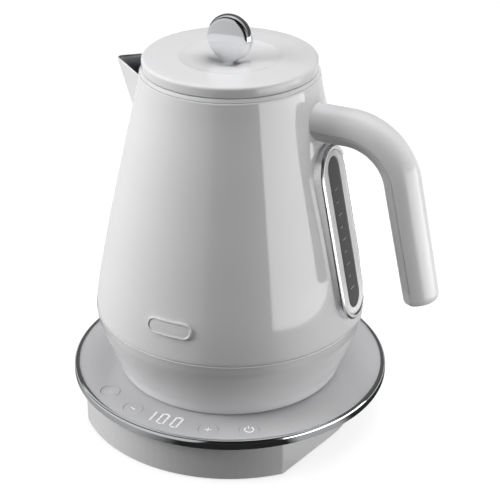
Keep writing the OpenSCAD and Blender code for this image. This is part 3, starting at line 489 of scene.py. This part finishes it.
def knob_piece():
    """Disc on edge whose lower side runs into a short neck: outline rings drawn in under a domed section."""
    low = LID_TOP - DISH_H + KNOB_GAP - KNOB_Z
    right = [(KNOB_R * math.cos(a), KNOB_R * math.sin(a))
             for a in (KNOB_FLARE + (math.pi / 2 - KNOB_FLARE) * k / 34 for k in range(35))]
    x0, z0 = right[0]
    neck = [(x0 + (KNOB_NECK - x0) * smooth_lookup(k / 14, NECK_SHAPE), z0 + (low - z0) * k / 14)
            for k in range(1, 15)]
    right = neck[::-1] + right
    outline = right + [(-x, z) for x, z in right[-2::-1]]
    shoulder = KNOB_T / 2 - KNOB_DOME
    rings = [(KNOB_EDGE * (1 - math.cos(a)), shoulder * math.sin(a))
             for a in (math.pi / 2 * k / 8 for k in range(9))]
    verts, faces = [], []
    n = len(outline)

    def point(x, z, d_in, y):
        """Outline point drawn in by d_in towards the disc's middle, or towards the neck's axis below it."""
        if z < z0:
            f = min(1, (z0 - z) / 2)
            d = max(0, abs(x) - d_in * (0.55 + 0.45 * (1 - f)))
            return math.copysign(d, x), y, KNOB_Z + z
        d = math.hypot(x, z)
        k = (d - d_in) / d
        return x * k, y, KNOB_Z + z * k

    for sign in (1, -1):
        base = len(verts)
        for inset, y in rings:
            verts += [point(x, z, inset, -sign * y) for x, z in outline]
        count = len(rings)
        for t in (0.8, 0.6, 0.4, 0.2, 0.05):
            for x, z in outline:
                px, _, pz = point(x, z, KNOB_EDGE, 0)
                y = -sign * (shoulder + KNOB_DOME * (1 - t * t))
                verts.append((px * t, y, pz if z < z0 else KNOB_Z + (pz - KNOB_Z) * t))
            count += 1
        faces += [tuple(base + i for i in f) for f in grid_faces(count, n, wrap=True)]
        faces.append(tuple(base + (count - 1) * n + i for i in range(n)))
    make("lid_knob", verts, faces, chrome, "lid", ["knob"], smooth=50)


knob_piece()

# ---------------------------------------------------------------- handle
ROOT_Z = MOUTH_Z - 24.1
BEND_X = MOUTH_R + 22.9
BEND_R = 32.8
LEAN = math.radians(12.3)
TURN = math.pi / 2 - LEAN
GRIP_LEN = 70.4
BACK = 12.72
FRONT = 7.5
HALF_W = 12.5
FACE_HW = 8.0
END_TAPER = 0.96
CAP_T = 4
END_ROUND = 5
END_SHRINK = 0.2
SEAM_V = -0.12      # the shell's flat face, just inside its seam with the inner cover


def handle_line(end=0.0):
    """Stations (x, z, heading, taper) from the body to the grip's free end, moved along by end."""
    first = body_r(ROOT_Z) - 4
    out = [(first + (BEND_X - first) * k / 8, ROOT_Z, 0.0, 1.0) for k in range(8)]
    for k in range(33):
        a = TURN * k / 32
        out.append((BEND_X + BEND_R * math.sin(a), ROOT_Z - BEND_R * (1 - math.cos(a)), a,
                    1 + (END_TAPER - 1) * 0.25 * k / 32))
    x, z = out[-1][:2]
    for k in range(1, 21):
        d = (GRIP_LEN + end) * k / 20
        t = 0.25 + 0.75 * min(1, d / GRIP_LEN)
        out.append((x + d * math.sin(LEAN), z - d * math.cos(LEAN), TURN, 1 + (END_TAPER - 1) * t))
    return out


def at_station(s, p, k):
    """Point (across, outward) of a section of size k, at its station."""
    u, v = p[0] * s[3] * k, p[1] * s[3] * k
    return (s[0] + v * math.sin(s[2]), u, s[1] + v * math.cos(s[2]))


def arc_back(n=40):
    """The back's arc, from the right seam to the left one."""
    return [(HALF_W * math.cos(math.pi * k / n), BACK * math.sin(math.pi * k / n)) for k in range(n + 1)]


def inner_side():
    """The flanks and the flat inner face, from the left seam to the right one, edges rounded."""
    left = [(-HALF_W + 0.1, -0.1), (-HALF_W + 0.3, -1.5, 3), (-FACE_HW - 0.9, -6.0, 2.2),
            (-FACE_HW + 0.9, -FRONT, 2.2)]
    right = [(FACE_HW - 0.9, -FRONT, 2.2), (FACE_HW + 0.9, -6.0, 2.2), (HALF_W - 0.3, -1.5, 3),
             (HALF_W - 0.1, -0.1)]
    return rounded(left + right, 5)


def sweep_mesh(stations, sections, sizes=None):
    """Skin through sections at stations, closed at both ends."""
    sizes = sizes or [1.0] * len(stations)
    verts = [at_station(s, p, k) for s, sec, k in zip(stations, sections, sizes) for p in sec]
    n = len(sections[0])
    faces = grid_faces(len(stations), n, wrap=True)
    faces.append(tuple(range(n)))
    faces.append(tuple((len(stations) - 1) * n + i for i in range(n)))
    return verts, faces


def handle_pieces():
    """The back shell with its rounded end, and the inner cover.

    Shell and end are two closed sweeps in one mesh, so their end faces stay inside it where they meet.
    """
    line = handle_line(-CAP_T)
    seam = [(u, SEAM_V) for u in (-HALF_W + 0.25, -HALF_W + 2.2, HALF_W - 2.2, HALF_W - 0.25)]
    verts, faces = sweep_mesh(line, [arc_back() + seam] * len(line))
    x, z, turn, k = handle_line()[-1]
    stations, sizes = [line[-1]], [1.0]
    for j in range(13):
        v = math.pi / 2 * j / 12
        d = END_ROUND * math.sin(v)
        stations.append((x + d * math.sin(LEAN), z - d * math.cos(LEAN), turn, k))
        sizes.append(1 - END_SHRINK * (1 - math.cos(v)) ** 1.2)
    base = len(verts)
    more, cap_faces = sweep_mesh(stations, [arc_back() + inner_side()] * len(stations), sizes)
    verts += more
    faces += [tuple(base + i for i in f) for f in cap_faces]
    make("handle_shell", verts, faces, gloss, "kettle", ["handle_shell"], smooth=35)
    line = handle_line(-CAP_T - 0.1)
    low = [(u * 0.992, v - 0.22) if v > -1.2 else (u, v) for u, v in inner_side()]
    verts, faces = sweep_mesh(line, [low] * len(line))
    make("handle_inner_cover", verts, faces, satin, "kettle", ["handle_inner_cover"], smooth=35)


handle_pieces()

# ---------------------------------------------------------------- water gauge
GAUGE_LEN = 111.4
GAUGE_HW = 18
GAUGE_HL = GAUGE_LEN / 2
GAUGE_MID = ROOT_Z - FRONT - 3.7 - GAUGE_HL
BEZEL_HW, BEZEL_HL = GAUGE_HW - 3.5, GAUGE_HL - 3.5
WINDOW_HW, WINDOW_HL = 8, GAUGE_HL - 7.3
GAUGE_TILT = math.atan((body_r(GAUGE_MID - GAUGE_HL) - body_r(GAUGE_MID + GAUGE_HL)) / GAUGE_LEN)
FRAME_RISE = 3.5
RING_RISE = 2.8
LENS_RISE = 2.45


def on_gauge(u, v, w):
    """Point of the gauge's plane: u across, v up the slope, w outwards."""
    c, s = math.cos(GAUGE_TILT), math.sin(GAUGE_TILT)
    return (body_r(GAUGE_MID) + w * c - v * s, u, GAUGE_MID + v * c + w * s)


def stadium(hw, hl, n=28, m=24):
    """Outline of a stadium, the same count of points for every size."""
    out = []
    for end in (1, -1):
        for k in range(n + 1):
            a = (0 if end == 1 else math.pi) + math.pi * k / n
            out.append((hw * math.cos(a), end * (hl - hw) + hw * math.sin(a)))
        for k in range(1, m):
            out.append((-end * hw, end * (hl - hw) * (1 - 2 * k / m)))
    return out


def stadium_piece(name, loops, mat, nodes, closed=True):
    """Skin over stadium outlines (half width, half length, height), a ring or a filled plate."""
    verts = [on_gauge(u, v, w) for hw, hl, w in loops for u, v in stadium(hw, hl)]
    n = len(stadium(1, 2))
    faces = grid_faces(len(loops), n, wrap=True)
    last = (len(loops) - 1) * n
    if closed:
        faces += [(last + k, last + (k + 1) % n, (k + 1) % n, k) for k in range(n)]
    else:
        faces += [tuple(range(n)), tuple(last + k for k in range(n))]
    make(name, verts, faces, mat, "kettle", nodes)


def inset_loops(hw, hl, rows):
    """Loops from (inset across, inset along, height)."""
    return [(hw - across, hl - along, w) for across, along, w in rows]


bezel = rounded([(0.02, -4.4), (0.02, FRAME_RISE - 1.4, 1.6), (1.2, FRAME_RISE - 0.05, 1.0),
                 (2.4, FRAME_RISE, 1.0), (3.45, FRAME_RISE - 0.75, 0.25), (3.45, -4.4)], 6)
ring_outside = [(0.15, 0.15, RING_RISE - 1.3), (0.15, 0.15, RING_RISE - 0.3), (0.35, 0.35, RING_RISE - 0.06),
                (0.7, 0.6, RING_RISE)]
ring_inside = [(-0.9, -0.7, RING_RISE - 0.1), (-0.35, -0.35, RING_RISE - 0.22), (-0.1, -0.1, RING_RISE - 0.5),
               (-0.1, -0.1, RING_RISE - 1.3)]
lens = [(1.2, 1.2, -6.9), (1.2, 1.2, 0.9), (0, 0, 1.0), (0, 0, LENS_RISE - 0.3), (0.12, 0.12, LENS_RISE - 0.08),
        (0.35, 0.35, LENS_RISE - 0.02), (2, 2, LENS_RISE)]
stadium_piece("gauge_frame", inset_loops(GAUGE_HW, GAUGE_HL, [(d, d, w) for d, w in bezel]),
              satin_chrome, ["gauge_frame"])
stadium_piece("gauge_inner_ring",
              inset_loops(BEZEL_HW, BEZEL_HL, ring_outside) + inset_loops(WINDOW_HW, WINDOW_HL, ring_inside),
              gauge_white, ["gauge_inner_ring"])
stadium_piece("gauge_window", inset_loops(WINDOW_HW, WINDOW_HL, lens), smoke_and_shade, ["gauge_window"],
              closed=False)


# ---------------------------------------------------------------- badge
BADGE_Z = SEAM_Z + 20
BADGE_HL = 14.4
BADGE_HW = 5.0
# (inset, rise) from the rim to the middle
BADGE_PROFILE = [(0, 0.0), (0, 0.9), (0.15, 1.3), (0.45, 1.5), (0.85, 1.45), (1.1, 1.2), (1.25, 0.9),
                 (1.5, 0.82), (2.2, 0.85), (3.4, 0.88), (4.6, 0.9)]


def badge_piece():
    """Bare plate with a raised rim, curved with the body and open at its back."""
    path = []
    for end in (1, -1):
        for k in range(17):
            a = (-math.pi / 2 if end == 1 else math.pi / 2) + math.pi * k / 16
            path.append((end * (BADGE_HL - BADGE_HW), math.cos(a), math.sin(a)))
        for k in range(1, 10):
            path.append((end * (BADGE_HL - BADGE_HW) * (1 - k / 5), 0.0, end))
    verts = []
    for inset, rise in BADGE_PROFILE:
        for cx, nx, ny in path:
            x = cx + (BADGE_HW - inset) * nx
            z = BADGE_Z + (BADGE_HW - inset) * ny
            r = body_r(z) + rise
            a = x / body_r(BADGE_Z)
            verts.append((r * math.sin(a), -r * math.cos(a), z))
    rows, n = len(BADGE_PROFILE), len(path)
    faces = grid_faces(rows, n, wrap=True)
    faces.append(tuple((rows - 1) * n + i for i in range(n)))
    make("badge_plate", verts, faces, badge_mat, "kettle", ["badge_plate"], smooth=60)


badge_piece()

# ---------------------------------------------------------------- base
RING_TOP = BASE_H - 0.02
RING_BOTTOM = BASE_H - RIM_H
ring_outline = [(RIM_R - 3, RING_BOTTOM), (RIM_R - 0.02, RING_BOTTOM, 1.0), (RIM_R - 0.02, RING_TOP, 2.2),
                (RIM_R - 2.9, RING_TOP, 0.5), (RIM_R - 3, BASE_H - 0.9)]
lathe("base_rim_ring", rounded(ring_outline, 8), chrome, "base", ["base_trim_ring"], segs=256)

# ---------------------------------------------------------------- printed key symbols
KEY_R = RIM_R - 13.8
KEY_TOP = COVER_TOP + 0.35
KEY_OUTER, KEY_INNER = 33.6, 17.3    # degrees to either side of the front
INK_LIFT = 0.03
INK_T = 0.04


def flat_strip(points, width):
    """Flat band of even width along a path, as points and faces in the plane."""
    verts = []
    last = len(points) - 1
    for k, p in enumerate(points):
        t = (Vector(points[min(k + 1, last)]) - Vector(points[max(k - 1, 0)])).normalized()
        verts += [(p[0] - t.y * width / 2, p[1] + t.x * width / 2),
                  (p[0] + t.y * width / 2, p[1] - t.x * width / 2)]
    return verts, [(2 * k, 2 * k + 2, 2 * k + 3, 2 * k + 1) for k in range(last)]


def arc_path(r, start, end, n):
    angles = [math.radians(start + (end - start) * k / n) for k in range(n + 1)]
    return [(r * math.cos(a), r * math.sin(a)) for a in angles]


def key_symbol(name, angle, body, strips, width, mat):
    """Thin printed strips on a key, turned so that they read from the front of the base."""
    a = math.radians(angle)
    cx, cy = KEY_R * math.sin(a), -KEY_R * math.cos(a)
    verts, faces = [], []
    for points in strips:
        v, f = flat_strip(points, width)
        base = len(verts)
        verts += [(cx + x * math.cos(a) - y * math.sin(a), cy + x * math.sin(a) + y * math.cos(a),
                   KEY_TOP + INK_LIFT) for x, y in v]
        faces += [tuple(base + i for i in q) for q in f]
    thick = make(name, verts, faces, mat, body).modifiers.new("ink", "SOLIDIFY")
    thick.thickness = INK_T * MM


power = [arc_path(2.7, 125, 415, 36), [(0, 0.9), (0, 3.6)]]
minus = [[(-1.9, 0), (1.9, 0)]]
plus = minus + [[(0, -1.9), (0, -0.3)], [(0, 0.3), (0, 1.9)]]
warm = [[(x + 0.5 * math.sin(k), -1.9 + 3.8 * k / 12) for k in range(13)] for x in (-1.8, 0, 1.8)]
warm.append([(-2.8, -2.8), (2.8, -2.8)])
key_symbol("symbol_power", KEY_OUTER, "button_power", power, 0.62, glowing_symbol)
key_symbol("symbol_plus", KEY_INNER, "button_plus", plus, 0.6, glowing_symbol)
key_symbol("symbol_minus", -KEY_INNER, "button_minus", minus, 0.6, glowing_symbol)
key_symbol("symbol_warm", -KEY_OUTER, "button_warm", warm, 0.45, symbol_dim)

# ---------------------------------------------------------------- CAD nodes that stay, with their finishes
STAY = {
    "base_lower_housing": gloss, "base_top_cover": glass_top, "base_bottom_plate": satin, "base_feet": rubber,
    "base_screws": steel, "base_connector": dark_plastic, "connector_contacts": brass, "cord_gland": satin,
    "control_board": board, "tact_switches": dark_plastic, "display_light_guide": lit, "base_tray": gloss,
    "button_warm": glass_top, "button_minus": glass_top, "button_plus": glass_top, "button_power": glass_top,
    "kettle_underside": satin, "underside_screws": steel, "kettle_connector": dark_plastic,
    "kettle_contacts": brass, "heating_plate": steel, "heating_element": alloy, "floor_seal": silicone,
    "temperature_sensor": steel, "filter_frame": steel, "filter_mesh": steel, "gauge_seal": silicone,
    "gauge_marks": ink, "handle_bracket": steel, "handle_screws": steel, "lid_inner": satin,
    "lid_seal": silicone, "knob_screw": steel,
}
for node, mat in STAY.items():
    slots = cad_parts[node].data.materials
    slots.clear()
    slots.append(mat.m)

# ---------------------------------------------------------------- camera, floor and light
CAM_AZ = math.radians(26)
CAM_DIST = 0.8277
CAM_H = 0.5408
CAM_DOWN = math.radians(27.714)
CAM_SENSOR = 36
CAM_LENS = 108
CAM_SHIFT = 0.04
FLOOR_REACH = 6
FLOOR_DROP = 0.0002    # keeps the floor clear of the feet
cam_data = bpy.data.cameras.new("camera")
cam_data.sensor_width = CAM_SENSOR
cam_data.lens = CAM_LENS
cam_data.shift_x = CAM_SHIFT
cam = bpy.data.objects.new("camera", cam_data)
cam.location = (CAM_DIST * math.sin(CAM_AZ), -CAM_DIST * math.cos(CAM_AZ), CAM_H)
cam.rotation_euler = (math.pi / 2 - CAM_DOWN, 0, CAM_AZ)
bpy.context.scene.collection.objects.link(cam)
bpy.context.scene.camera = cam
bpy.context.scene.view_settings.view_transform = "Standard"

floor_mesh = bpy.data.meshes.new("floor")
floor_corners = [(x * FLOOR_REACH, y * FLOOR_REACH, 0) for x, y in ((-1, -1), (1, -1), (1, 1), (-1, 1))]
floor_mesh.from_pydata(floor_corners, [], [(0, 1, 2, 3)])
floor = bpy.data.objects.new("floor", floor_mesh)
floor.location.z = -FLOOR_DROP
bpy.context.scene.collection.objects.link(floor)
floor_mat = bpy.data.materials.new("white_floor")
floor_mat.use_nodes = True
floor_mesh.materials.append(floor_mat)
world = bpy.data.worlds.new("studio")
bpy.context.scene.world = world
world.use_nodes = True

# What mirrored rays find round the set, as (degrees from the front, -Y, towards +X, brightness): a pale wall
# at the left, the dark studio where the photographer stands, a grey wall at the right and white behind
WALLS = [(-180, 0.95), (-140, 0.95), (-112, 0.80), (-40, 0.70), (-20, 0.64), (2, 0.55), (9, 0.02),
         (58, 0.02), (64, 0.45), (116, 0.50), (126, 0.72), (158, 0.72), (166, 0.95), (180, 0.95)]
# The same on the floor within CARD_REACH metres, which the rim and the plinth mirror: a dark card at the
# left and black ones at the front right and the right
CARDS = [(-180, 0.50), (-130, 0.30), (-100, 0.10), (-74, 0.14), (-58, 0.45), (-20, 0.45), (-6, 0.20), (2, 0.01),
         (52, 0.01), (58, 0.45), (80, 0.45), (88, 0.02), (140, 0.02), (150, 0.50), (180, 0.50)]
CARD_REACH = 0.175
# Multiplies the walls above the floor, from the front (0) past the zenith (90) to the back (180): a dark gap
# in the roof before the zenith, and the dark room above the white floor behind
ROOF = [(0, 1.0), (52, 1.0), (58, 0.05), (84, 0.05), (90, 0.90), (112, 0.90), (124, 0.12), (180, 0.12)]


class Set:
    """Small helpers for the shader trees of the floor and the world."""

    def __init__(self, tree):
        self.t = tree
        self.path = tree.nodes.new("ShaderNodeLightPath")

    def math(self, op, a, b=0.0):
        n = self.t.nodes.new("ShaderNodeMath")
        n.operation = op
        for socket, value in zip(n.inputs, (a, b)):
            if isinstance(value, (int, float)):
                socket.default_value = value
            else:
                self.t.links.new(value, socket)
        return n.outputs[0]

    def ray(self, name):
        return self.path.outputs[name]

    def straight(self):
        """1 for what is seen directly or through glass."""
        return self.math("MAXIMUM", self.ray("Is Camera Ray"), self.ray("Is Transmission Ray"))

    def around(self, across, along, table):
        """A ramp over the angle between two directions, from -180 to 180 degrees."""
        turn = self.math("ADD", self.math("MULTIPLY", self.math("ARCTAN2", across, along), 1 / TAU), 0.5)
        ramp = self.t.nodes.new("ShaderNodeValToRGB")
        self.t.links.new(turn, ramp.inputs["Fac"])
        el = ramp.color_ramp.elements
        while len(el) < len(table):
            el.new(0.5)
        for e, (deg, v) in zip(el, table):
            e.position = (deg + 180) / 360
            e.color = (v, v, v, 1)
        return ramp.outputs["Color"]

    def split(self, coords):
        """Direction's share to the right, to the front and upwards."""
        sep = self.t.nodes.new("ShaderNodeSeparateXYZ")
        self.t.links.new(coords, sep.inputs[0])
        return sep.outputs["X"], self.math("MULTIPLY", sep.outputs["Y"], -1), sep.outputs["Z"]


FLOOR_SEEN = 0.30
FLOOR_BOUNCE = 0.01
FLOOR_GLOW = 0.80
FLOOR_MIRROR = 0.9
AMBIENT = 0.02

ft = floor_mat.node_tree
fb = ft.nodes["Principled BSDF"]
fb.inputs["Roughness"].default_value = 0.9
fb.inputs["Specular IOR Level"].default_value = 0
fb.inputs["Emission Color"].default_value = (1, 1, 1, 1)
fs = Set(ft)
seen = fs.straight()
shade = fs.math("ADD", fs.math("MULTIPLY", seen, FLOOR_SEEN - FLOOR_BOUNCE), FLOOR_BOUNCE)
mixed = ft.nodes.new("ShaderNodeCombineColor")
for k in range(3):
    ft.links.new(shade, mixed.inputs[k])
ft.links.new(mixed.outputs[0], fb.inputs["Base Color"])
where = ft.nodes.new("ShaderNodeTexCoord")
right, front, _ = fs.split(where.outputs["Object"])
reach = fs.math("SQRT", fs.math("ADD", fs.math("MULTIPLY", right, right), fs.math("MULTIPLY", front, front)))
far = fs.math("GREATER_THAN", reach, CARD_REACH)
near = fs.math("SUBTRACT", 1, far)
around = fs.math("ADD", fs.math("MULTIPLY", far, fs.around(right, front, WALLS)),
                 fs.math("MULTIPLY", near, fs.around(right, front, CARDS)))
mirrored = fs.math("MULTIPLY", fs.math("MULTIPLY", around, FLOOR_MIRROR), fs.ray("Is Glossy Ray"))
glow = fs.math("MAXIMUM", fs.math("MULTIPLY", seen, FLOOR_GLOW), mirrored)
ft.links.new(glow, fb.inputs["Emission Strength"])

wt = world.node_tree
bg = wt.nodes["Background"]
bg.inputs["Color"].default_value = (1, 1, 1, 1)
ws = Set(wt)
where = wt.nodes.new("ShaderNodeTexCoord")
right, front, up = ws.split(where.outputs["Generated"])
around = ws.math("MULTIPLY", ws.around(right, front, WALLS), ws.around(up, front, ROOF))
mirrored = ws.math("MULTIPLY", around, ws.ray("Is Glossy Ray"))
diffuse = ws.math("MULTIPLY", ws.ray("Is Diffuse Ray"), AMBIENT)
wt.links.new(ws.math("MAXIMUM", ws.math("MAXIMUM", ws.straight(), mirrored), diffuse), bg.inputs["Strength"])


def softbox(name, az, height, dist, size, power, aim_z=0.13, mirrored=False):
    """An area lamp at az degrees from the front, aimed at the kettle's axis. Gloss shows it if mirrored."""
    data = bpy.data.lights.new(name, "AREA")
    data.shape = "RECTANGLE"
    data.size, data.size_y = size
    data.energy = power
    ob = bpy.data.objects.new(name, data)
    a = math.radians(az)
    ob.location = (dist * math.sin(a), -dist * math.cos(a), height)
    ob.rotation_euler = (Vector((0, 0, aim_z)) - ob.location).to_track_quat("-Z", "Y").to_euler()
    ob.visible_glossy = mirrored
    bpy.context.scene.collection.objects.link(ob)


softbox("left_box", az=-62, height=0.50, dist=1.10, size=(0.75, 1.05), power=15)
softbox("right_strip", az=91, height=0.105, dist=0.46, size=(0.58, 0.24), power=1.35, mirrored=True)
softbox("top_box", az=154, height=1.50, dist=0.50, size=(1.4, 1.3), power=19)
softbox("front_top", az=14, height=0.78, dist=0.32, size=(0.34, 0.22), power=0.5, aim_z=0.25)
